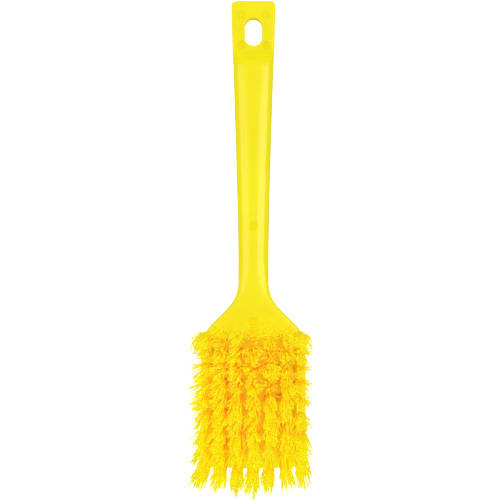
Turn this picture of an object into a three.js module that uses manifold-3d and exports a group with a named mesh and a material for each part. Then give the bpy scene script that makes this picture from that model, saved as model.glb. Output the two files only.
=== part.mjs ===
// A short-handled washing brush: one moulded plastic block, which is head, grip and hanging tab in
// one, and tufts of crimped bristles set in blind holes in the head.
// Millimetres. The brush lies on its flat back: +Z towards the bristle tips, +Y from the head to
// the hanging tab, +X across it. A "station" is a distance along the block from the tab's end.
import * as THREE from 'three'
import { mergeVertices } from 'three/addons/utils/BufferGeometryUtils.js'
import Module from 'manifold-3d'

// The block along its length, as stations: the grip's rounding ends where the head's flat face starts
const TAB_LENGTH = 30
const RAMP_END = 37
const TAPER_END = 145
const NECK_END = 160.2
const FACE_START = 178
const BLOCK_LENGTH = 264.6

// The block across
const TAB_END_HALF_WIDTH = 12.7
const TAB_ROOT_HALF_WIDTH = 11.9
const GRIP_TOP_HALF_WIDTH = 11.4
const NECK_HALF_WIDTH = 8.5
const HEAD_HALF_WIDTH = 29.2
const TAPER_POWER = 1.3
const TAB_CORNER_RADIUS = 3.1
const HEAD_CORNER_RADIUS = 8.4
const FLARE_HOLLOW_RADIUS = 22
const FLARE_SHOULDER_RADIUS = 17.4
const END_BOW = 1.6

// The flare turns out to 45 degrees and back, so its radii and its rise set its length
const FLARE_RISE = HEAD_HALF_WIDTH - NECK_HALF_WIDTH
const FLARE_LENGTH = FLARE_RISE + (Math.SQRT2 - 1) * (FLARE_HOLLOW_RADIUS + FLARE_SHOULDER_RADIUS)
const HEAD_START = NECK_END + FLARE_LENGTH

// The block through, and the rounding of its long edges
const TAB = { thickness: 5, faceRadius: 1.4, backRadius: 1.4, crown: 0 }
const GRIP = { thickness: 13.5, faceRadius: 6, backRadius: 4.5, crown: 1 }
const HEAD = { thickness: 16, faceRadius: 1.8, backRadius: 3, crown: 0 }
const TAB_END_ROLL = 4
const TAB_END_DROP = 2.4

// The hanging hole, and the shallow round marks that the mould's ejector pins leave
const HANG_HOLE = { station: 18.1, width: 9.8, length: 15.5, rim: 0.7 }
const MARK_DEPTH = 0.25
const MARKS = [
  { station: 8.4, side: 7, radius: 2.4, face: TAB.thickness },
  { station: 8.4, side: -7, radius: 2.4, face: TAB.thickness },
  { station: 25.7, side: 7, radius: 2.4, face: TAB.thickness },
  { station: 25.7, side: -7, radius: 2.4, face: TAB.thickness },
  { station: 128.6, side: 0, radius: 2.4, face: GRIP.thickness + GRIP.crown },
  { station: 182.8, side: 0, radius: 3, face: HEAD.thickness },
]

// The tufts: a grid on the head's face that fans out evenly from its middle, and more in the end row
const ROWS = 9
const COLUMNS = 7
const ROW_PITCH = 8.4
const COLUMN_PITCH = 8.2
const FIRST_ROW = 190.7
const FAN_STEP = THREE.MathUtils.degToRad(2.1)
const END_ROW_LEAN = THREE.MathUtils.degToRad(9)
const END_LEAN_REACH = 3.3
const BRISTLE_LENGTH = 36
const HOLE_RADIUS = 2.3
const HOLE_DEPTH = 11
const TUFT_GAP = 0.3
const TUFT_COLLAR = 1
const TUFT_TIP_RADIUS = 4
const CROSSING = { below: 8, height: 5, depth: 2.4 }

// Facets
const CORNER_STEPS = 4
const FACE_STEPS = 4
const ROUND_SIDES = 10
const MARK_SIDES = 16

const plastic = new THREE.MeshStandardMaterial({ color: '#f5e51e', roughness: 0.4, metalness: 0 })
const bristle = new THREE.MeshStandardMaterial({ color: '#f7e600', roughness: 0.6, metalness: 0 })

const wasm = await Module()
wasm.setup()

// ---- geometries and solids ----

function toSolid(geometry) {
  const bare = geometry.clone()
  bare.deleteAttribute('normal')
  bare.deleteAttribute('uv')
  const merged = mergeVertices(bare, 1e-4)
  return new wasm.Manifold(new wasm.Mesh({
    numProp: 3,
    vertProperties: new Float32Array(merged.attributes.position.array),
    triVerts: new Uint32Array(merged.index.array),
  }))
}

function toGeometry(solid) {
  const { vertProperties, triVerts } = solid.getMesh()
  const geometry = new THREE.BufferGeometry()
  geometry.setAttribute('position', new THREE.BufferAttribute(vertProperties, 3))
  geometry.setIndex(new THREE.BufferAttribute(triVerts, 1))
  geometry.computeVertexNormals()
  return geometry
}

// A closed skin through rings of points, with a fan over each end. The rings turn
// anticlockwise as seen from ahead of the last one.
function skin(rings) {
  const count = rings[0].length
  const last = (rings.length - 1) * count
  const points = rings.flat()
  const faces = []
  for (let start = 0; start < last; start += count) {
    for (let i = 0; i < count; i += 1) {
      const a = start + i
      const b = start + (i + 1) % count
      faces.push(a, b, a + count, b, b + count, a + count)
    }
  }
  for (const end of [rings[0], rings.at(-1)]) {
    points.push(end.reduce((sum, point) => sum.add(point), new THREE.Vector3()).divideScalar(count))
  }
  for (let i = 0; i < count; i += 1) {
    const next = (i + 1) % count
    faces.push(points.length - 2, next, i)
    faces.push(points.length - 1, last + i, last + next)
  }
  const geometry = new THREE.BufferGeometry().setFromPoints(points)
  geometry.setIndex(faces)
  return geometry
}

// An upright round cutter or a slot's cutter, through rings of [height, radius]
function uprightCutter(rings, halfSlot, sides) {
  return skin(rings.map(([height, radius]) => Array.from({ length: sides }, (_, i) => {
    const angle = (i + 0.5) * 2 * Math.PI / sides
    const shift = Math.sign(Math.sin(angle)) * halfSlot
    return new THREE.Vector3(radius * Math.cos(angle), radius * Math.sin(angle) + shift, height)
  })))
}

// ---- the moulded block ----

const mix = THREE.MathUtils.lerp
const stationToY = (station) => BLOCK_LENGTH - station
const progress = (station, from, to) => THREE.MathUtils.clamp((station - from) / (to - from), 0, 1)
const smooth = (t) => t * t * (3 - 2 * t)

// How far a quarter round has drawn in, at a distance from the end that it rounds
function drawnIn(radius, distance) {
  const left = Math.max(0, radius - distance)
  return radius - Math.sqrt(radius * radius - left * left)
}

// The flare from neck to head: a hollow arc, a straight at 45 degrees and the shoulder's arc
function flareHalfWidth(along) {
  const hollowEnd = Math.SQRT1_2 * FLARE_HOLLOW_RADIUS
  const shoulderStart = FLARE_LENGTH - Math.SQRT1_2 * FLARE_SHOULDER_RADIUS
  if (along < hollowEnd) {
    return NECK_HALF_WIDTH + FLARE_HOLLOW_RADIUS - Math.sqrt(FLARE_HOLLOW_RADIUS ** 2 - along ** 2)
  }
  if (along < shoulderStart) {
    return NECK_HALF_WIDTH + FLARE_HOLLOW_RADIUS - 2 * hollowEnd + along
  }
  return HEAD_HALF_WIDTH - drawnIn(FLARE_SHOULDER_RADIUS, along - FLARE_LENGTH + FLARE_SHOULDER_RADIUS)
}

function halfWidthAt(station) {
  if (station < TAB_LENGTH) {
    const tab = mix(TAB_END_HALF_WIDTH, TAB_ROOT_HALF_WIDTH, station / TAB_LENGTH)
    return tab - drawnIn(TAB_CORNER_RADIUS, station)
  }
  if (station < RAMP_END) {
    return mix(TAB_ROOT_HALF_WIDTH, GRIP_TOP_HALF_WIDTH, progress(station, TAB_LENGTH, RAMP_END))
  }
  if (station < NECK_END) {
    const left = 1 - progress(station, RAMP_END, TAPER_END)
    return mix(NECK_HALF_WIDTH, GRIP_TOP_HALF_WIDTH, left ** TAPER_POWER)
  }
  if (station < HEAD_START) return flareHalfWidth(station - NECK_END)
  return HEAD_HALF_WIDTH - drawnIn(HEAD_CORNER_RADIUS, BLOCK_LENGTH - station)
}

// The cross-section at a station: the tab's blends into the grip's, and the grip's into the head's
function sectionAt(station) {
  const toGrip = smooth(progress(station, TAB_LENGTH, RAMP_END))
  const toHead = smooth(progress(station, TAPER_END, FACE_START))
  const blend = (key) => mix(mix(TAB[key], GRIP[key], toGrip), HEAD[key], toHead)
  const roll = TAB_END_DROP / TAB_END_ROLL * drawnIn(TAB_END_ROLL, station)
  const toEnd = BLOCK_LENGTH - station
  return {
    halfWidth: halfWidthAt(station),
    top: blend('thickness') - roll - drawnIn(HEAD.faceRadius, toEnd),
    bottom: drawnIn(TAB.backRadius, station) + drawnIn(HEAD.backRadius, toEnd),
    faceRadius: blend('faceRadius'),
    backRadius: blend('backRadius'),
    crown: blend('crown'),
    bow: END_BOW * (1 - progress(toEnd, 0, HEAD_CORNER_RADIUS)),
  }
}

// The ring of points around one cross-section, from the right-hand edge of the back
function ringAt(station) {
  const { halfWidth, top, bottom, faceRadius, backRadius, crown, bow } = sectionAt(station)
  const room = 0.49 * (top - bottom)
  const face = Math.min(faceRadius, room)
  const back = Math.min(backRadius, room)
  const outline = []
  const corner = (x, z, radius, quarter) => {
    for (let i = 0; i <= CORNER_STEPS; i += 1) {
      const angle = (quarter + i / CORNER_STEPS) * Math.PI / 2
      outline.push([x + radius * Math.cos(angle), z + radius * Math.sin(angle)])
    }
  }
  corner(halfWidth - back, bottom + back, back, -1)
  corner(halfWidth - face, top - face, face, 0)
  for (let i = 1; i < FACE_STEPS; i += 1) {
    outline.push([mix(halfWidth - face, face - halfWidth, i / FACE_STEPS), top])
  }
  corner(face - halfWidth, top - face, face, 1)
  corner(back - halfWidth, bottom + back, back, 2)
  return outline.map(([x, z]) => {
    const lift = crown * (1 - (x / halfWidth) ** 2) * (z - bottom) / (top - bottom)
    return new THREE.Vector3(x, stationToY(station) + bow * (x / HEAD_HALF_WIDTH) ** 2, z + lift)
  })
}

function blockStations() {
  const spread = (from, to, steps) => Array.from({ length: steps }, (_, i) => mix(from, to, i / steps))
  const rounded = (radius, steps) => spread(0, Math.PI / 2, steps).map((turn) => radius * (1 - Math.cos(turn)))
  return [
    ...rounded(TAB_END_ROLL, 5),
    ...spread(TAB_END_ROLL, TAB_LENGTH, 2),
    ...spread(TAB_LENGTH, RAMP_END, 6),
    ...spread(RAMP_END, NECK_END, 9),
    ...spread(NECK_END, HEAD_START, 12),
    HEAD_START,
    BLOCK_LENGTH - HEAD_CORNER_RADIUS,
    ...rounded(HEAD_CORNER_RADIUS, 7).map((inset) => BLOCK_LENGTH - inset).reverse(),
  ]
}

// The hanging hole is a slot with its rims eased on both faces
function hangHoleCutter() {
  const radius = HANG_HOLE.width / 2
  const far = 2
  const rings = [
    [-far, radius + HANG_HOLE.rim + far],
    [HANG_HOLE.rim, radius],
    [TAB.thickness - HANG_HOLE.rim, radius],
    [TAB.thickness + far, radius + HANG_HOLE.rim + far],
  ]
  const cutter = uprightCutter(rings, (HANG_HOLE.length - HANG_HOLE.width) / 2, MARK_SIDES)
  return cutter.translate(0, stationToY(HANG_HOLE.station), 0)
}

function markCutter({ station, side, radius, face }) {
  const rings = [[face - MARK_DEPTH, radius], [face + radius, radius]]
  return uprightCutter(rings, 0, MARK_SIDES).translate(side, stationToY(station), 0)
}

// ---- the tufts ----

// Where a tuft leaves the head's face, and which way it leans
function tuftPlace(row, column) {
  const across = column - (COLUMNS + 1) / 2
  const along = row - (ROWS + 1) / 2
  const station = FIRST_ROW + (row - 1) * ROW_PITCH
  const endLean = row === ROWS ? END_ROW_LEAN * (1 - (across / END_LEAN_REACH) ** 2) : 0
  const lean = new THREE.Vector3(Math.tan(across * FAN_STEP), -Math.tan(along * FAN_STEP + endLean), 1)
  return {
    root: new THREE.Vector3(across * COLUMN_PITCH, stationToY(station), HEAD.thickness),
    turn: new THREE.Quaternion().setFromUnitVectors(new THREE.Vector3(0, 0, 1), lean.normalize()),
  }
}

const placed = (geometry, { root, turn }) => geometry.clone().applyQuaternion(turn).translate(...root)

// A round solid along +Z, from its radii at rising heights
function turned(profile) {
  const points = [[0, profile[0][1]], ...profile, [0, profile.at(-1)[1]]]
  return new THREE.LatheGeometry(points.map(([r, z]) => new THREE.Vector2(r, z)), ROUND_SIDES).rotateX(Math.PI / 2)
}

const tuftHole = turned([[HOLE_RADIUS, -HOLE_DEPTH], [HOLE_RADIUS, TUFT_COLLAR]])

// One tuft: a tight round bundle where the staple holds it, flaring to its trimmed tips
const tuft = turned([
  [HOLE_RADIUS - TUFT_GAP, TUFT_GAP - HOLE_DEPTH],
  [HOLE_RADIUS - TUFT_GAP, TUFT_COLLAR],
  [TUFT_TIP_RADIUS, BRISTLE_LENGTH],
])

const gridOf = (count) => Array.from({ length: count }, (_, i) => i + 1)
const onEdge = (row, column) => row === 1 || row === ROWS || column === 1 || column === COLUMNS

function block() {
  let solid = toSolid(skin(blockStations().map(ringAt)))
  const cutters = [hangHoleCutter(), ...MARKS.map(markCutter)]
  for (const row of gridOf(ROWS)) {
    for (const column of gridOf(COLUMNS)) cutters.push(placed(tuftHole, tuftPlace(row, column)))
  }
  for (const cutter of cutters) solid = solid.subtract(toSolid(cutter))
  return new THREE.Mesh(toGeometry(solid), plastic)
}

function edgeTuft(row, column) {
  const mesh = new THREE.Mesh(tuft, bristle)
  const { root, turn } = tuftPlace(row, column)
  mesh.position.copy(root)
  mesh.quaternion.copy(turn)
  return mesh
}

// The inner tufts of one row, joined where their bristles cross near the tips
function innerRow(row) {
  const columns = gridOf(COLUMNS).filter((column) => !onEdge(row, column))
  const tipPitch = COLUMN_PITCH + BRISTLE_LENGTH * FAN_STEP
  const crossing = new THREE.BoxGeometry(tipPitch * (columns.length - 1), CROSSING.depth, CROSSING.height)
  crossing.translate(0, 0, BRISTLE_LENGTH - CROSSING.below)
  let solid = toSolid(placed(crossing, tuftPlace(row, (COLUMNS + 1) / 2)))
  for (const column of columns) solid = solid.add(toSolid(placed(tuft, tuftPlace(row, column))))
  return new THREE.Mesh(toGeometry(solid), bristle)
}

// ---- the whole brush ----

const brush = new THREE.Group()

function addPart(name, mesh) {
  mesh.name = name
  brush.add(mesh)
}

addPart('handle_block', block())
for (const row of gridOf(ROWS)) {
  if (row > 1 && row < ROWS) addPart(`inner_tufts_row_${row}`, innerRow(row))
  for (const column of gridOf(COLUMNS)) {
    if (onEdge(row, column)) addPart(`edge_tuft_row_${row}_column_${column}`, edgeTuft(row, column))
  }
}

// The origin is the middle of the whole brush, on the surface that its back lies on
brush.updateMatrixWorld(true)
brush.position.y = -new THREE.Box3().setFromObject(brush).getCenter(new THREE.Vector3()).y

export default brush
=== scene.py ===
"""A short-handled washing brush, lying on its back with its bristles up, built around its CAD model.

The scene is in metres, in the CAD model's frame: +Z towards the bristle tips and +Y towards the hanging tab.
The dimensions below are in millimetres, and a "station" is one along the block from the tab's end.
"""

import math

import bpy
import numpy as np
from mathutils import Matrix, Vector


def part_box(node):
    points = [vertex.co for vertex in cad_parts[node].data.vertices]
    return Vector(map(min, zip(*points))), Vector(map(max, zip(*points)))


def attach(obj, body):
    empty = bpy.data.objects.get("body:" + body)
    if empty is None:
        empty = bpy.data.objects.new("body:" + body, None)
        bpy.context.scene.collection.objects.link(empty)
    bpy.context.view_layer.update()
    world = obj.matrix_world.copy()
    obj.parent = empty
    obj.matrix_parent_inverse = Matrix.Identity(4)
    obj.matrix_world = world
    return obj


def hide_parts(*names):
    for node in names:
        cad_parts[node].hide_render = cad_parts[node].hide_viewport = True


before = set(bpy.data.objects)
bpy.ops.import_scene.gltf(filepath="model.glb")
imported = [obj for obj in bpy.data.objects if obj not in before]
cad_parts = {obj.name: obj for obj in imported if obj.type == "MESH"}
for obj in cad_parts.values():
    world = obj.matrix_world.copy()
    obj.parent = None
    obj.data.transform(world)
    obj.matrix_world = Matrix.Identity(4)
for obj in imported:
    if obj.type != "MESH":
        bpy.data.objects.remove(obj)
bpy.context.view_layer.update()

MM = 0.001
TAB_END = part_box("handle_block")[1].y
scene = bpy.context.scene

# ---- driving dimensions, in millimetres, as in the CAD model ----

# The block along its length, as stations
TAB_LENGTH = 30
RAMP_END = 37
TAPER_END = 145
NECK_END = 160.2
FACE_START = 178
BLOCK_LENGTH = 264.6

# The block across
TAB_END_HALF_WIDTH = 12.7
TAB_ROOT_HALF_WIDTH = 11.9
GRIP_TOP_HALF_WIDTH = 11.4
NECK_HALF_WIDTH = 8.5
HEAD_HALF_WIDTH = 29.2
TAPER_POWER = 1.3
TAB_CORNER_RADIUS = 3.1
HEAD_CORNER_RADIUS = 8.4
FLARE_HOLLOW_RADIUS = 22
FLARE_SHOULDER_RADIUS = 17.4
END_BOW = 1.6
FLARE_RISE = HEAD_HALF_WIDTH - NECK_HALF_WIDTH
FLARE_LENGTH = FLARE_RISE + (math.sqrt(2) - 1) * (FLARE_HOLLOW_RADIUS + FLARE_SHOULDER_RADIUS)
HEAD_START = NECK_END + FLARE_LENGTH

# The block through, and the rounding of its long edges
TAB = {"thickness": 5, "face_radius": 1.4, "back_radius": 1.4, "crown": 0}
GRIP = {"thickness": 13.5, "face_radius": 6, "back_radius": 4.5, "crown": 1}
HEAD = {"thickness": 16, "face_radius": 1.8, "back_radius": 3, "crown": 0}
TAB_END_ROLL = 4
TAB_END_DROP = 2.4

# The hanging hole, and the ejector pins' marks as station, side, radius and the height of the face there
HANG_HOLE = {"station": 18.1, "width": 9.8, "length": 15.5, "rim": 0.8}
MARK_DEPTH = 0.25
MARK_LIP = 0.12
MARK_FADE = 0.3
TAB_MARKS = [(station, side, 2.4, TAB["thickness"]) for station in (8.4, 25.7) for side in (7, -7)]
GRIP_MARK = (128.6, 0, 2.4, GRIP["thickness"] + GRIP["crown"])
SHOULDER_MARK = (182.8, 0, 3, HEAD["thickness"])

# The tufts
ROWS = 9
COLUMNS = 7
ROW_PITCH = 8.4
COLUMN_PITCH = 8.2
FIRST_ROW = 190.7
FAN_STEP = math.radians(2.1)
END_ROW_LEAN = math.radians(9)
END_LEAN_REACH = 3.3
BRISTLE_LENGTH = 36
HOLE_RADIUS = 2.3
HOLE_DEPTH = 11
HOLE_LIP = 0.08
HOLE_CUTTER_RISE = 1.5
FIELD_HALF_WIDTH = (COLUMNS - 1) / 2 * COLUMN_PITCH
FIELD_HALF_LENGTH = (ROWS - 1) / 2 * ROW_PITCH
FIELD_MIDDLE = FIRST_ROW + FIELD_HALF_LENGTH
TUFTS = [(row, column) for row in range(1, ROWS + 1) for column in range(1, COLUMNS + 1)]

# Steps of the smooth surfaces, and how far the cutters reach out of them
CORNER_STEPS = 10
FACE_STEPS = 10
CUTTER_SIDES = 64
HOLE_SIDES = 28
LIP_STEPS = 3
CUTTER_RISE = 1

# The least turn between faces that meet at a sharp edge
BLOCK_EDGE_ANGLE = math.radians(28)
STAPLE_EDGE_ANGLE = math.radians(40)


def clamp(value, low=0.0, high=1.0):
    return max(low, min(high, value))


def mix(a, b, t):
    return a + (b - a) * t


def smooth(t):
    return t * t * (3 - 2 * t)


def progress(value, start, end):
    return clamp((value - start) / (end - start))


def make_object(name, points, faces, material):
    """A mesh piece from points in millimetres, where Y is a distance from the tab's end, negated."""
    mesh = bpy.data.meshes.new(name)
    placed = [(x * MM, TAB_END + y * MM, z * MM) for x, y, z in points]
    mesh.from_pydata(placed, [], faces)
    mesh.update()
    mesh.polygons.foreach_set("use_smooth", [True] * len(mesh.polygons))
    piece = bpy.data.objects.new(name, mesh)
    scene.collection.objects.link(piece)
    mesh.materials.append(material)
    return piece


# ---- material nodes ----


def new_material(name):
    material = bpy.data.materials.new(name)
    material.use_nodes = True
    return material, material.node_tree, material.node_tree.nodes["Principled BSDF"]


def add_node(tree, kind, settings=None, **inputs):
    """A shader node: its settings by attribute, its inputs by name, each a value or a socket to link."""
    node = tree.nodes.new("ShaderNode" + kind)
    for key, value in (settings or {}).items():
        setattr(node, key, value)
    for key, value in inputs.items():
        socket = node.inputs[int(key[1:])] if key[0] == "i" and key[1:].isdigit() else node.inputs[key]
        if isinstance(value, bpy.types.NodeSocket):
            tree.links.new(value, socket)
        else:
            socket.default_value = value
    return node


def arithmetic(tree, operation, **inputs):
    return add_node(tree, "Math", {"operation": operation}, **inputs).outputs[0]


def noise(tree, coordinates, scale, detail=3.0, roughness=0.5):
    made = add_node(tree, "TexNoise", Vector=coordinates, Scale=scale, Detail=detail, Roughness=roughness)
    return made.outputs[0]


def scaled(tree, socket, low, high, to_low, to_high):
    settings = {"interpolation_type": "SMOOTHSTEP"}
    made = add_node(tree, "MapRange", settings, i0=socket, i1=low, i2=high, i3=to_low, i4=to_high)
    return made.outputs[0]


def blend_colour(tree, factor, first, second):
    made = add_node(tree, "Mix", {"data_type": "RGBA"})
    for index, value in ((0, factor), (6, first), (7, second)):
        if isinstance(value, bpy.types.NodeSocket):
            tree.links.new(value, made.inputs[index])
        else:
            made.inputs[index].default_value = value
    return made.outputs[2]


# The block's yellows: its mottling, the pin marks, and painted shade on the face between the inner tufts
DEEP_YELLOW = (0.905, 0.785, 0.004, 1)
PALE_YELLOW = (0.925, 0.82, 0.006, 1)
# Deeper yellow on the pin marks: painted weaker reflection
MARK_LOW_SHEEN_YELLOW = (0.905, 0.765, 0.001, 1)
# Painted shade, for the face between the inner tufts
PAINTED_SHADE_YELLOW = (0.85, 0.70, 0.012, 1)
MARK_STRENGTH = 0.8
MARK_SMOOTHING = 0.06
BLOCK_ROUGHNESS = (0.15, 0.21)

# Where the painted shade fades out, across, along and down from the middle of the tufted face, in metres
SIDE_FADE = ((FIELD_HALF_WIDTH - 7) * MM, (FIELD_HALF_WIDTH + 1) * MM)
END_FADE = ((FIELD_HALF_LENGTH - 2.5) * MM, (FIELD_HALF_LENGTH + 0.5) * MM)
DEPTH_FADE = ((HEAD["thickness"] - 2.5) * MM, (HEAD["thickness"] + 0.5) * MM)


def near_marks(tree, place):
    """1 within an ejector pin's mark, seen from above, and 0 elsewhere."""
    found = None
    for station, side, radius, face in (*TAB_MARKS, GRIP_MARK, SHOULDER_MARK):
        centre = (side * MM, TAB_END - station * MM, face * MM)
        away = add_node(tree, "VectorMath", {"operation": "DISTANCE"}, i0=place, i1=centre).outputs["Value"]
        inside = scaled(tree, away, (radius - MARK_FADE) * MM, radius * MM, 1, 0)
        found = inside if found is None else arithmetic(tree, "MAXIMUM", i0=found, i1=inside)
    return found


def painted_shade_among_tufts(tree, place):
    """1 on the face between the inner tufts, where painted shade stands for the orange light that reaches it
    through the bristles, and 0 elsewhere.
    """
    middle = (0, TAB_END - FIELD_MIDDLE * MM, HEAD["thickness"] * MM)
    offset = add_node(tree, "VectorMath", {"operation": "SUBTRACT"}, i0=place, i1=middle).outputs[0]
    away = add_node(tree, "VectorMath", {"operation": "ABSOLUTE"}, i0=offset).outputs[0]
    side, along, depth = add_node(tree, "SeparateXYZ", Vector=away).outputs
    inside = scaled(tree, side, *SIDE_FADE, 1, 0)
    for distance, fade in ((along, END_FADE), (depth, DEPTH_FADE)):
        inside = arithmetic(tree, "MULTIPLY", i0=inside, i1=scaled(tree, distance, *fade, 1, 0))
    return inside


def moulded_plastic():
    """Satin yellow polypropylene: fine spark-eroded grain, faint flow mottling, light handling scuffs and
    painted shade between the inner tufts.
    """
    material, tree, shader = new_material("moulded_yellow_plastic")
    place = add_node(tree, "TexCoord").outputs["Object"]
    flow = noise(tree, place, 45, detail=4)
    scuffs = noise(tree, place, 700, detail=6, roughness=0.7)
    grain = noise(tree, place, 5200, detail=2)
    marks = near_marks(tree, place)
    colour = blend_colour(tree, scaled(tree, flow, 0.35, 0.65, 0, 1), DEEP_YELLOW, PALE_YELLOW)
    # Painted weaker reflection: the pin marks are deepened in colour, while their smoother finish below is
    # real roughness
    colour = blend_colour(tree, scaled(tree, marks, 0, 1, 0, MARK_STRENGTH), colour, MARK_LOW_SHEEN_YELLOW)
    # Painted shade: the face between the inner tufts is deepened towards orange
    colour = blend_colour(tree, painted_shade_among_tufts(tree, place), colour, PAINTED_SHADE_YELLOW)
    rough = scaled(tree, scuffs, 0.4, 0.72, *BLOCK_ROUGHNESS)
    smoother = arithmetic(tree, "MULTIPLY_ADD", i0=marks, i1=-MARK_SMOOTHING, i2=rough)
    tree.links.new(colour, shader.inputs["Base Color"])
    tree.links.new(smoother, shader.inputs["Roughness"])
    bump = add_node(tree, "Bump", Height=grain, Strength=0.05, Distance=0.00003)
    tree.links.new(bump.outputs[0], shader.inputs["Normal"])
    shader.inputs["IOR"].default_value = 1.49
    shader.inputs["Subsurface Weight"].default_value = 0.15
    shader.inputs["Subsurface Radius"].default_value = (1.0, 0.7, 0.1)
    shader.inputs["Subsurface Scale"].default_value = 0.002
    return material


# ---- the moulded block ----


def drawn_in(radius, distance):
    """How far a quarter round has drawn in, at a distance from the end that it rounds."""
    left = max(0.0, radius - distance)
    return radius - math.sqrt(radius * radius - left * left)


def flare_half_width(along):
    """The flare from neck to head: a hollow arc, a straight at 45 degrees and the shoulder's arc."""
    hollow_end = FLARE_HOLLOW_RADIUS / math.sqrt(2)
    shoulder_start = FLARE_LENGTH - FLARE_SHOULDER_RADIUS / math.sqrt(2)
    if along < hollow_end:
        return NECK_HALF_WIDTH + FLARE_HOLLOW_RADIUS - math.sqrt(FLARE_HOLLOW_RADIUS**2 - along**2)
    if along < shoulder_start:
        return NECK_HALF_WIDTH + FLARE_HOLLOW_RADIUS - 2 * hollow_end + along
    return HEAD_HALF_WIDTH - drawn_in(FLARE_SHOULDER_RADIUS, along - FLARE_LENGTH + FLARE_SHOULDER_RADIUS)


def half_width_at(station):
    if station < TAB_LENGTH:
        tab = mix(TAB_END_HALF_WIDTH, TAB_ROOT_HALF_WIDTH, station / TAB_LENGTH)
        return tab - drawn_in(TAB_CORNER_RADIUS, station)
    if station < RAMP_END:
        return mix(TAB_ROOT_HALF_WIDTH, GRIP_TOP_HALF_WIDTH, progress(station, TAB_LENGTH, RAMP_END))
    if station < NECK_END:
        left = 1 - progress(station, RAMP_END, TAPER_END)
        return mix(NECK_HALF_WIDTH, GRIP_TOP_HALF_WIDTH, left**TAPER_POWER)
    if station < HEAD_START:
        return flare_half_width(station - NECK_END)
    return HEAD_HALF_WIDTH - drawn_in(HEAD_CORNER_RADIUS, BLOCK_LENGTH - station)


def section_at(station):
    """The cross-section at a station: the tab's blends into the grip's, and the grip's into the head's."""
    to_grip = smooth(progress(station, TAB_LENGTH, RAMP_END))
    to_head = smooth(progress(station, TAPER_END, FACE_START))
    blend = {key: mix(mix(TAB[key], GRIP[key], to_grip), HEAD[key], to_head) for key in TAB}
    to_end = BLOCK_LENGTH - station
    roll = TAB_END_DROP / TAB_END_ROLL * drawn_in(TAB_END_ROLL, station)
    top = blend["thickness"] - roll - drawn_in(HEAD["face_radius"], to_end)
    bottom = drawn_in(TAB["back_radius"], station) + drawn_in(HEAD["back_radius"], to_end)
    bow = END_BOW * (1 - progress(to_end, 0, HEAD_CORNER_RADIUS))
    return half_width_at(station), top, bottom, blend, bow


def ring_at(station):
    """The points around one cross-section, from the right-hand edge of the back."""
    half_width, top, bottom, blend, bow = section_at(station)
    room = 0.49 * (top - bottom)
    face, back = min(blend["face_radius"], room), min(blend["back_radius"], room)
    outline = []

    def corner(x, z, radius, quarter):
        for i in range(CORNER_STEPS + 1):
            angle = (quarter + i / CORNER_STEPS) * math.pi / 2
            outline.append((x + radius * math.cos(angle), z + radius * math.sin(angle)))

    def flat(x, z):
        outline.extend((mix(x, -x, i / FACE_STEPS), z) for i in range(1, FACE_STEPS))

    corner(half_width - back, bottom + back, back, -1)
    corner(half_width - face, top - face, face, 0)
    flat(half_width - face, top)
    corner(face - half_width, top - face, face, 1)
    corner(back - half_width, bottom + back, back, 2)
    flat(back - half_width, bottom)
    ring = []
    for x, z in outline:
        lift = blend["crown"] * (1 - (x / half_width) ** 2) * (z - bottom) / (top - bottom)
        ring.append((x, -station + bow * (x / HEAD_HALF_WIDTH) ** 2, z + lift))
    return ring


def block_stations():
    def spread(start, end, steps):
        return [mix(start, end, i / steps) for i in range(steps)]

    def rounded(radius, steps):
        return [radius * (1 - math.cos(turn)) for turn in spread(0, math.pi / 2, steps)]

    return [
        *rounded(TAB_END_ROLL, 12),
        *spread(TAB_END_ROLL, TAB_LENGTH, 12),
        *spread(TAB_LENGTH, RAMP_END, 16),
        *spread(RAMP_END, NECK_END, 60),
        *spread(NECK_END, HEAD_START, 44),
        *spread(HEAD_START, BLOCK_LENGTH - HEAD_CORNER_RADIUS, 12),
        BLOCK_LENGTH - HEAD_CORNER_RADIUS,
        *reversed([BLOCK_LENGTH - inset for inset in rounded(HEAD_CORNER_RADIUS, 20)]),
    ]


def skin(rings):
    """Points and faces of a closed skin through rings that turn anticlockwise seen from ahead of the last."""
    count = len(rings[0])
    points = [point for ring in rings for point in ring]
    faces = []
    for start in range(0, len(points) - count, count):
        for i in range(count):
            a, b = start + i, start + (i + 1) % count
            faces.append((a, b, b + count, a + count))
    faces.append(tuple(reversed(range(count))))
    faces.append(tuple(range(len(points) - count, len(points))))
    return points, faces


def upright_cutter(rings, sides, half_slot=0.0, side=0.0, station=0.0):
    """An upright round cutter, or a slot's, through rings of height and radius."""
    made = []
    for height, radius in rings:
        ring = []
        for i in range(sides):
            angle = (i + 0.5) * 2 * math.pi / sides
            shift = math.copysign(half_slot, math.sin(angle))
            ring.append((side + radius * math.cos(angle), radius * math.sin(angle) + shift - station, height))
        made.append(ring)
    return skin(made)


def eased_rim(face, rim, radius, outwards, steps=6):
    """Rings of height and radius where a hole's wall rolls over into the face that it opens on."""
    rings = []
    for i in range(steps + 1):
        turn = i / steps * math.pi / 2
        rings.append((face - outwards * rim * (1 - math.sin(turn)), radius + rim * (1 - math.cos(turn))))
    return rings


def hang_hole_cutter():
    radius, rim = HANG_HOLE["width"] / 2, HANG_HOLE["rim"]
    lower = list(reversed(eased_rim(0, rim, radius, -1)))
    upper = eased_rim(TAB["thickness"], rim, radius, 1)
    top = TAB["thickness"] + CUTTER_RISE
    rings = [(-CUTTER_RISE, radius + rim), *lower, *upper, (top, radius + rim)]
    half_slot = (HANG_HOLE["length"] - HANG_HOLE["width"]) / 2
    return upright_cutter(rings, CUTTER_SIDES, half_slot, 0, HANG_HOLE["station"])


def mark_cutter(station, side, radius, face):
    lip = eased_rim(face, MARK_LIP, radius, 1, LIP_STEPS)
    rings = [(face - MARK_DEPTH, radius - MARK_LIP), *lip, (face + CUTTER_RISE, radius + MARK_LIP)]
    return upright_cutter(rings, CUTTER_SIDES, 0, side, station)


# ---- the grid of tufts ----


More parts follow.
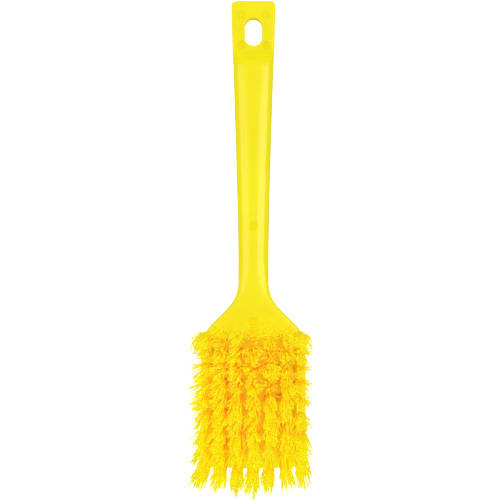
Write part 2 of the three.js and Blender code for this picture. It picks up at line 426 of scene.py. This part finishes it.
def tuft_place(row, column):
    """Where a tuft leaves the head's face, and the turn that leans its own Z axis, as in the CAD model."""
    across = column - (COLUMNS + 1) / 2
    along = row - (ROWS + 1) / 2
    end_lean = END_ROW_LEAN * (1 - (across / END_LEAN_REACH) ** 2) if row == ROWS else 0
    lean = Vector((math.tan(across * FAN_STEP), -math.tan(along * FAN_STEP + end_lean), 1))
    turn = Vector((0, 0, 1)).rotation_difference(lean).to_matrix()
    root = (across * COLUMN_PITCH, -(FIRST_ROW + (row - 1) * ROW_PITCH), HEAD["thickness"])
    return np.array(root), np.array(turn)


def tuft_hole_cutter(row, column):
    root, turn = tuft_place(row, column)
    lip = eased_rim(0, HOLE_LIP, HOLE_RADIUS, 1, LIP_STEPS)
    rings = [(-HOLE_DEPTH, HOLE_RADIUS), *lip, (HOLE_CUTTER_RISE, HOLE_RADIUS + HOLE_LIP)]
    points, faces = upright_cutter(rings, HOLE_SIDES)
    return (np.array(points) @ turn.T + root).tolist(), faces


def joined(shapes):
    """Several sets of points and faces as one."""
    points, faces = [], []
    for more_points, more_faces in shapes:
        faces.extend(tuple(len(points) + i for i in face) for face in more_faces)
        points.extend(more_points)
    return points, faces


def subtract(piece, shapes):
    """Cuts shapes that stay clear of one another out of a piece."""
    cutter = make_object("cutter", *joined(shapes), piece.data.materials[0])
    cut = piece.modifiers.new("cut", "BOOLEAN")
    cut.operation, cut.solver, cut.object = "DIFFERENCE", "EXACT", cutter
    made = bpy.data.meshes.new_from_object(piece.evaluated_get(bpy.context.evaluated_depsgraph_get()))
    piece.modifiers.clear()
    piece.data = made
    bpy.data.objects.remove(cutter)


def make_block():
    """The moulding: a skin through its cross-sections, less hanging hole, pin marks and tuft holes."""
    block = make_object("moulded_block", *skin([ring_at(s) for s in block_stations()]), moulded_plastic())
    subtract(block, [hang_hole_cutter()])
    subtract(block, [mark_cutter(*mark) for mark in (*TAB_MARKS, GRIP_MARK, SHOULDER_MARK)])
    subtract(block, [tuft_hole_cutter(row, column) for row, column in TUFTS])
    block.data.set_sharp_from_angle(angle=BLOCK_EDGE_ANGLE)
    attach(block, "root")
    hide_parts("handle_block")


# ---- the bristles ----

# A tuft's filaments, folded in its hole under a staple
FOLDS = 35
FILAMENT_RADIUS = 0.245
FILAMENT_SIDES = 5
ROOT_RADIUS = 2.1
ROOT_SCATTER = 0.08
ROOT_CLEARANCE = 0.4 * FILAMENT_RADIUS
FOLD_HEIGHT = -8.5
STAPLE = {"length": 4.9, "height": 1.7, "thickness": 0.38, "round": 0.12, "bow": 0.2}

# How a tuft widens, as shares of its width: at the hole's mouth, and along and across the staple at the tips
MOUTH_SWELL = 0.15
MOUTH_LENGTH = 1.5
TIP_SWELL = (0.8, 1.65)
FIRST_ROW_SWELL = (0.8, 0.8)

# How single filaments differ, with the few that stray outwards
LENGTH_SCATTER = 0.6
LEAN = 0.9
STRAY = 0.7
STRAY_LIMIT = 2.5 * LEAN

# Clumps of filaments, and the scatter in them of the plane and phase of the crimp
CLUMPS = 8
CLUMPING = 0.45
CLUMP_REACH = (0.3, 1)
PLANE_SCATTER = 0.5
PHASE_SCATTER = 1
CRIMP_LENGTH = 5
CRIMP_DEPTH = 0.1
CRIMP_RANGE = (0.6, 1.3)
CRIMP_START = 5

# How far a tuft's tips have set beyond its hole's lean: at random, to the left, more so in each column right
# of the middle, and along the brush in rows 1 and 2, with the change by the square of the columns from the
# middle, and in the last row, with the change for each column beyond the first right of the middle
TUFT_SCATTER = (0.8, 1.2)
LEFT_SET = 0.4
RIGHT_COLUMN_SET = 0.8
ROW_SETS = {1: (-1.3, -0.33), 2: (-2.3, 0.35)}
LAST_ROW_SET = 1
LAST_CORNER_SET = 0.9

# Where the painted shade on the inner roots fades out: inwards from the field's sloping sides, and up a
# bristle
SPREAD = 0.2
ROOT_SHADE_REACH = 7.5
LIT_RISE = 0.9

STEPS_PER_CRIMP = 5
UPRIGHT_STEPS = round(STEPS_PER_CRIMP * BRISTLE_LENGTH / CRIMP_LENGTH)
FOLD_STEPS = 4
STAPLE_STEPS = 8


def half_disc(count, rng):
    """About evenly packed places in the half of a hole's disc where Y is positive."""
    golden = math.pi * (3 - math.sqrt(5))
    index = np.arange(1, 2 * count + 1)
    reach = ROOT_RADIUS * np.sqrt(index / (2 * count))
    turn = index * golden
    disc = np.stack([reach * np.cos(turn), reach * np.sin(turn)], 1)
    half = disc[np.argsort(-disc[:, 1])[:count]] + rng.normal(0, ROOT_SCATTER, (count, 2))
    return np.maximum(half, (-ROOT_RADIUS, ROOT_CLEARANCE))


def upright_ends(roots, sweep, spread, rng):
    """Centre lines from the hole's mouth to the tips, as [end, step, xyz] in the tuft's own axes.

    The crimp packs badly, so the tuft widens just above the hole. The ends then fan out, most of all away
    from the staple that they are folded over, and gather loosely in clumps that share a plane of waves.
    """
    count = len(roots)
    length = BRISTLE_LENGTH + rng.normal(0, LENGTH_SCATTER, count)
    rise = np.linspace(0, 1, UPRIGHT_STEPS + 1)[None, :, None]
    height = length[:, None, None] * rise
    swell = 1 + MOUTH_SWELL * (1 - np.exp(-height / MOUTH_LENGTH)) + np.array(spread) * rise
    turns = rng.uniform(0, 2 * math.pi, CLUMPS)
    reach = rng.uniform(*CLUMP_REACH, (CLUMPS, 1))
    centres = np.stack([np.cos(turns), np.sin(turns)], 1) * reach * ROOT_RADIUS
    clump = np.argmin(((roots[:, None] - centres[None]) ** 2).sum(2), 1)
    gathered = roots[:, None] + CLUMPING * (centres[clump] - roots)[:, None] * rise
    lean = sweep + rng.normal(0, LEAN, (count, 2))
    lean += STRAY * roots / ROOT_RADIUS * np.minimum(rng.exponential(LEAN, (count, 1)), STRAY_LIMIT)
    side = gathered * swell + lean[:, None] * rise**2
    plane = (rng.uniform(0, math.pi, CLUMPS)[clump] + rng.normal(0, PLANE_SCATTER, count))[:, None]
    phase = (rng.uniform(0, 2 * math.pi, CLUMPS)[clump] + rng.normal(0, PHASE_SCATTER, count))[:, None]
    depth = CRIMP_DEPTH * rng.uniform(*CRIMP_RANGE, count)[:, None]
    depth = depth * np.minimum(1, height[:, :, 0] / CRIMP_START)
    wave = depth * np.sin(2 * math.pi * height[:, :, 0] / CRIMP_LENGTH + phase)
    side = side + np.stack([wave * np.cos(plane), wave * np.sin(plane)], 2)
    return np.concatenate([side, height], 2)


def filament_lines(sweep, spread, rng):
    """Centre lines of a tuft's filaments, each folded once under the staple, as [filament, step, xyz]."""
    roots = half_disc(FOLDS, rng)
    near, far = (upright_ends(half, sweep, spread, rng) for half in (roots, roots * (1, -1)))
    gap = STAPLE["thickness"] / 2 + FILAMENT_RADIUS
    bend = gap + roots[:, 1] * (1 - gap / ROOT_RADIUS)
    fold = []
    for i in range(FOLD_STEPS + 1):
        turn = math.pi * i / FOLD_STEPS
        fold.append(np.stack([roots[:, 0], bend * math.cos(turn), FOLD_HEIGHT - bend * math.sin(turn)], 1))
    return np.concatenate([near[:, ::-1], np.stack(fold, 1), far], 1)


def tubes(lines, radius, sides):
    """Round tubes along centre lines: their points, the quads along them and the caps at their ends."""
    count, steps = lines.shape[:2]
    along = np.gradient(lines, axis=1)
    along /= np.linalg.norm(along, axis=2, keepdims=True)
    across = np.array((1.0, 0, 0)) - along * along[:, :, :1]
    across /= np.linalg.norm(across, axis=2, keepdims=True)
    other = np.cross(along, across)
    angles = np.arange(sides) * 2 * math.pi / sides
    ring = np.cos(angles)[:, None] * across[:, :, None] + np.sin(angles)[:, None] * other[:, :, None]
    points = lines[:, :, None] + radius * ring
    index = np.arange(count * steps * sides).reshape(count, steps, sides)
    following = np.roll(index, -1, axis=2)
    quads = np.stack([index[:, :-1], following[:, :-1], following[:, 1:], index[:, 1:]], 3).reshape(-1, 4)
    caps = np.concatenate([index[:, 0, ::-1], index[:, -1]])
    return points.reshape(-1, 3), quads, caps


def tuft_mesh(name, points, quads, caps):
    mesh = bpy.data.meshes.new(name)
    corners = np.concatenate([quads.ravel(), caps.ravel()])
    sizes = np.concatenate([np.full(len(quads), 4), np.full(len(caps), caps.shape[1])])
    mesh.vertices.add(len(points))
    mesh.vertices.foreach_set("co", points.ravel())
    mesh.loops.add(len(corners))
    mesh.loops.foreach_set("vertex_index", corners)
    mesh.polygons.add(len(sizes))
    mesh.polygons.foreach_set("loop_start", np.concatenate([[0], np.cumsum(sizes)[:-1]]))
    mesh.polygons.foreach_set("use_smooth", np.ones(len(sizes), bool))
    mesh.update(calc_edges=True)
    return mesh


def store(mesh, name, values):
    made = mesh.attributes.new(name, "FLOAT", "POINT")
    made.data.foreach_set("value", values)


def painted_root_shade(points):
    """Painted shade on the bristles: how deep among the tufts points lie, 0 at the tips and around the
    outside, 1 at the inner roots.
    """
    height = np.clip(points[:, 2] - HEAD["thickness"], 0, BRISTLE_LENGTH)
    half = np.array((FIELD_HALF_WIDTH, FIELD_HALF_LENGTH)) + ROOT_RADIUS
    inwards = half + SPREAD * height[:, None] - np.abs(points[:, :2] - (0, -FIELD_MIDDLE))
    above = points[:, 2] >= HEAD["thickness"]
    inside = np.where(above, np.clip(inwards.min(1) / ROOT_SHADE_REACH, 0, 1), 1)
    return inside * (1 - smooth(np.clip(height / (LIT_RISE * BRISTLE_LENGTH), 0, 1)))


def tuft_sweep(row, column, rng):
    """How far a tuft's tips have set to one side, beyond the lean of its hole."""
    across = column - (COLUMNS + 1) / 2
    leftwards = LEFT_SET + RIGHT_COLUMN_SET * max(0, across)
    middle, change = ROW_SETS.get(row, (0, 0))
    forwards = middle + change * across**2
    if row == ROWS:
        forwards = LAST_ROW_SET + LAST_CORNER_SET * max(0, across - 1)
    return np.array((-leftwards, forwards)) + rng.normal(0, TUFT_SCATTER, 2)


def make_tuft(row, column, material):
    rng = np.random.default_rng(100 * row + column)
    root, turn = tuft_place(row, column)
    spread = FIRST_ROW_SWELL if row == 1 else TIP_SWELL
    lines = filament_lines(tuft_sweep(row, column, rng), spread, rng) @ turn.T + root
    points, quads, caps = tubes(lines, FILAMENT_RADIUS, FILAMENT_SIDES)
    strand = np.repeat(rng.uniform(0, 1, len(lines)), lines.shape[1] * FILAMENT_SIDES)
    name = f"tuft_row_{row}_column_{column}"
    mesh = tuft_mesh(name, points * MM + (0, TAB_END, 0), quads, caps)
    # Painted shade, by how deep among the tufts each point lies
    store(mesh, "painted_root_shade", painted_root_shade(points))
    store(mesh, "strand", strand)
    mesh.materials.append(material)
    tuft = bpy.data.objects.new(name, mesh)
    scene.collection.objects.link(tuft)
    tuft.visible_shadow = False
    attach(tuft, "root")
    on_edge = row in (1, ROWS) or column in (1, COLUMNS)
    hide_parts(f"edge_{name}" if on_edge else f"inner_tufts_row_{row}")


FIRST_STRAND = (0.92, 0.80, 0.002, 1)
LAST_STRAND = (0.93, 0.93, 0.003, 1)
# Painted shade: the orange that the inner roots take deep among the tufts
ROOT_SHADE_YELLOW = (0.92, 0.49, 0.008, 1)


def bristle_plastic():
    """Crimped yellow polyester: each strand differs a little, and painted shade deepens the inner roots
    towards orange.
    """
    material, tree, shader = new_material("yellow_bristle")
    # Painted shade: depth among the tufts deepens the strands' yellow towards orange
    depth = add_node(tree, "Attribute", {"attribute_name": "painted_root_shade"}).outputs["Fac"]
    strand = add_node(tree, "Attribute", {"attribute_name": "strand"}).outputs["Fac"]
    colour = blend_colour(tree, depth, blend_colour(tree, strand, FIRST_STRAND, LAST_STRAND), ROOT_SHADE_YELLOW)
    tree.links.new(colour, shader.inputs["Base Color"])
    shader.inputs["Roughness"].default_value = 0.45
    shader.inputs["IOR"].default_value = 1.5
    return material


def make_tufts():
    material = bristle_plastic()
    for row, column in TUFTS:
        make_tuft(row, column, material)


# ---- the staples ----


DARK_STEEL = (0.52, 0.51, 0.48, 1)
BRIGHT_STEEL = (0.70, 0.69, 0.67, 1)


def drawn_steel():
    """Flat drawn wire: bright, with fine lines along it."""
    material, tree, shader = new_material("drawn_steel_wire")
    place = add_node(tree, "TexCoord").outputs["Object"]
    stretched = add_node(tree, "Mapping", Vector=place, Scale=(0.06, 1, 1)).outputs[0]
    lines = noise(tree, stretched, 9000, detail=4)
    tree.links.new(blend_colour(tree, lines, DARK_STEEL, BRIGHT_STEEL), shader.inputs["Base Color"])
    tree.links.new(scaled(tree, lines, 0.3, 0.7, 0.26, 0.42), shader.inputs["Roughness"])
    bump = add_node(tree, "Bump", Height=lines, Strength=0.2, Distance=0.00002)
    tree.links.new(bump.outputs[0], shader.inputs["Normal"])
    shader.inputs["Metallic"].default_value = 1.0
    return material


def staple_shape(row, column):
    """A strip of flat wire across the bottom of a hole, bowed down and with its ends eased."""
    root, turn = tuft_place(row, column)
    rings = []
    for i in range(STAPLE_STEPS + 1):
        along = 2 * i / STAPLE_STEPS - 1
        ease = 0.85 if abs(along) == 1 else 1
        centre = FOLD_HEIGHT + STAPLE["height"] / 2 - STAPLE["bow"] * (1 - along**2)
        rings.append([])
        for quarter, (side, up) in enumerate(((1, 1), (-1, 1), (-1, -1), (1, -1))):
            y = side * (STAPLE["thickness"] / 2 - STAPLE["round"])
            z = up * (STAPLE["height"] / 2 - STAPLE["round"])
            for k in range(4):
                angle = (quarter + k / 3) * math.pi / 2
                across = ease * (y + STAPLE["round"] * math.cos(angle))
                height = ease * (z + STAPLE["round"] * math.sin(angle))
                rings[-1].append((along * STAPLE["length"] / 2, across, centre + height))
    points, faces = skin(rings)
    return (np.array(points) @ turn.T + root).tolist(), faces


def make_staples():
    steel = drawn_steel()
    for row in range(1, ROWS + 1):
        shapes = [staple_shape(row, column) for column in range(1, COLUMNS + 1)]
        staples = make_object(f"staples_row_{row}", *joined(shapes), steel)
        staples.data.set_sharp_from_angle(angle=STAPLE_EDGE_ANGLE)
        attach(staples, "root")


make_block()
make_tufts()
make_staples()

# ---- stage, light and camera ----

# In metres and watts, but for the sensor in millimetres
CAMERA_HEIGHT = 0.616
CAMERA_SIDE = -0.00195
CAMERA_FROM_TAB_END = 0.1422
PICTURE_WIDTH = 0.27925
SENSOR_WIDTH = 36
FLOOR_HALF_WIDTH = 3.0
FLOOR_DROP = 0.0002
SOFTBOX = {"size": (0.9, 0.5), "power": 2.75, "away": 1.2, "height": 0.42}
HIGHLIGHT = {"size": (0.42, 1.0), "away": 0.5, "along": 0.02, "height": 0.55}
HIGHLIGHT_POWER = {"left": 1.7, "right": 2.9}
ROOM_ABOVE = (0.86, 0.87, 0.86, 1)
ROOM_BELOW = (0.5, 0.5, 0.49, 1)
MIRRORED_ABOVE = (0.1, 0.1, 0.1, 1)
MIRRORED_BELOW = (0.36, 0.31, 0.06, 1)


def make_floor():
    """A white stage that only the camera sees, so that the world alone lights and mirrors from below."""
    material, tree, shader = new_material("white_stage")
    shader.inputs["Base Color"].default_value = (0.9, 0.9, 0.9, 1)
    shader.inputs["Roughness"].default_value = 0.9
    shader.inputs["Emission Color"].default_value = (1, 1, 1, 1)
    shader.inputs["Emission Strength"].default_value = 0.6
    half = FLOOR_HALF_WIDTH
    corners = [(-half, -half, 0), (half, -half, 0), (half, half, 0), (-half, half, 0)]
    mesh = bpy.data.meshes.new("stage")
    mesh.from_pydata(corners, [], [(0, 1, 2, 3)])
    mesh.materials.append(material)
    floor = bpy.data.objects.new("stage", mesh)
    floor.location.z = -FLOOR_DROP
    floor.visible_diffuse = False
    floor.visible_glossy = False
    scene.collection.objects.link(floor)


def make_light(name, size, power, place, mirrored):
    """A softbox that faces the origin: a mirrored one lights nothing, and the others aren't mirrored."""
    data = bpy.data.lights.new(name, "AREA")
    data.shape, data.size, data.size_y, data.energy = "RECTANGLE", size[0], size[1], power
    light = bpy.data.objects.new(name, data)
    light.location = place
    light.rotation_euler = (-Vector(place)).to_track_quat("-Z", "Y").to_euler()
    light.visible_camera = False
    light.visible_glossy = mirrored
    light.visible_diffuse = not mirrored
    scene.collection.objects.link(light)


def make_lights():
    """Four wide low softboxes light the bristles' sides, and two long ones draw the grip's highlights."""
    for name, azimuth in (("right", 0), ("back", 90), ("left", 180), ("front", 270)):
        turn = math.radians(azimuth)
        place = (SOFTBOX["away"] * math.cos(turn), SOFTBOX["away"] * math.sin(turn), SOFTBOX["height"])
        make_light(f"softbox_{name}", SOFTBOX["size"], SOFTBOX["power"], place, False)
    for name, side in (("left", -1), ("right", 1)):
        place = (side * HIGHLIGHT["away"], HIGHLIGHT["along"], HIGHLIGHT["height"])
        make_light(f"highlight_{name}", HIGHLIGHT["size"], HIGHLIGHT_POWER[name], place, True)


def make_world():
    """An even white room, mirrored much dimmer so that edges stay crisp, with the brush's glow below."""
    world = bpy.data.worlds.new("studio")
    world.use_nodes = True
    tree = world.node_tree
    path = add_node(tree, "LightPath").outputs
    up = add_node(tree, "SeparateXYZ", Vector=add_node(tree, "TexCoord").outputs["Generated"]).outputs["Z"]
    mirrored = blend_colour(tree, scaled(tree, up, -0.5, 0.1, 0, 1), MIRRORED_BELOW, MIRRORED_ABOVE)
    room = blend_colour(tree, scaled(tree, up, -0.4, 0.4, 0, 1), ROOM_BELOW, ROOM_ABOVE)
    lit = blend_colour(tree, path["Is Glossy Ray"], room, mirrored)
    seen = blend_colour(tree, path["Is Camera Ray"], lit, (1, 1, 1, 1))
    tree.links.new(seen, tree.nodes["Background"].inputs["Color"])
    scene.world = world


def make_camera():
    data = bpy.data.cameras.new("camera")
    data.sensor_width = SENSOR_WIDTH
    data.lens = SENSOR_WIDTH * (CAMERA_HEIGHT - HEAD["thickness"] * MM) / PICTURE_WIDTH
    camera = bpy.data.objects.new("camera", data)
    camera.location = (CAMERA_SIDE, TAB_END - CAMERA_FROM_TAB_END, CAMERA_HEIGHT)
    scene.collection.objects.link(camera)
    scene.camera = camera


make_floor()
make_lights()
make_world()
make_camera()
scene.view_settings.view_transform = "Standard"
scene.cycles.max_bounces = 24
scene.cycles.diffuse_bounces = 8
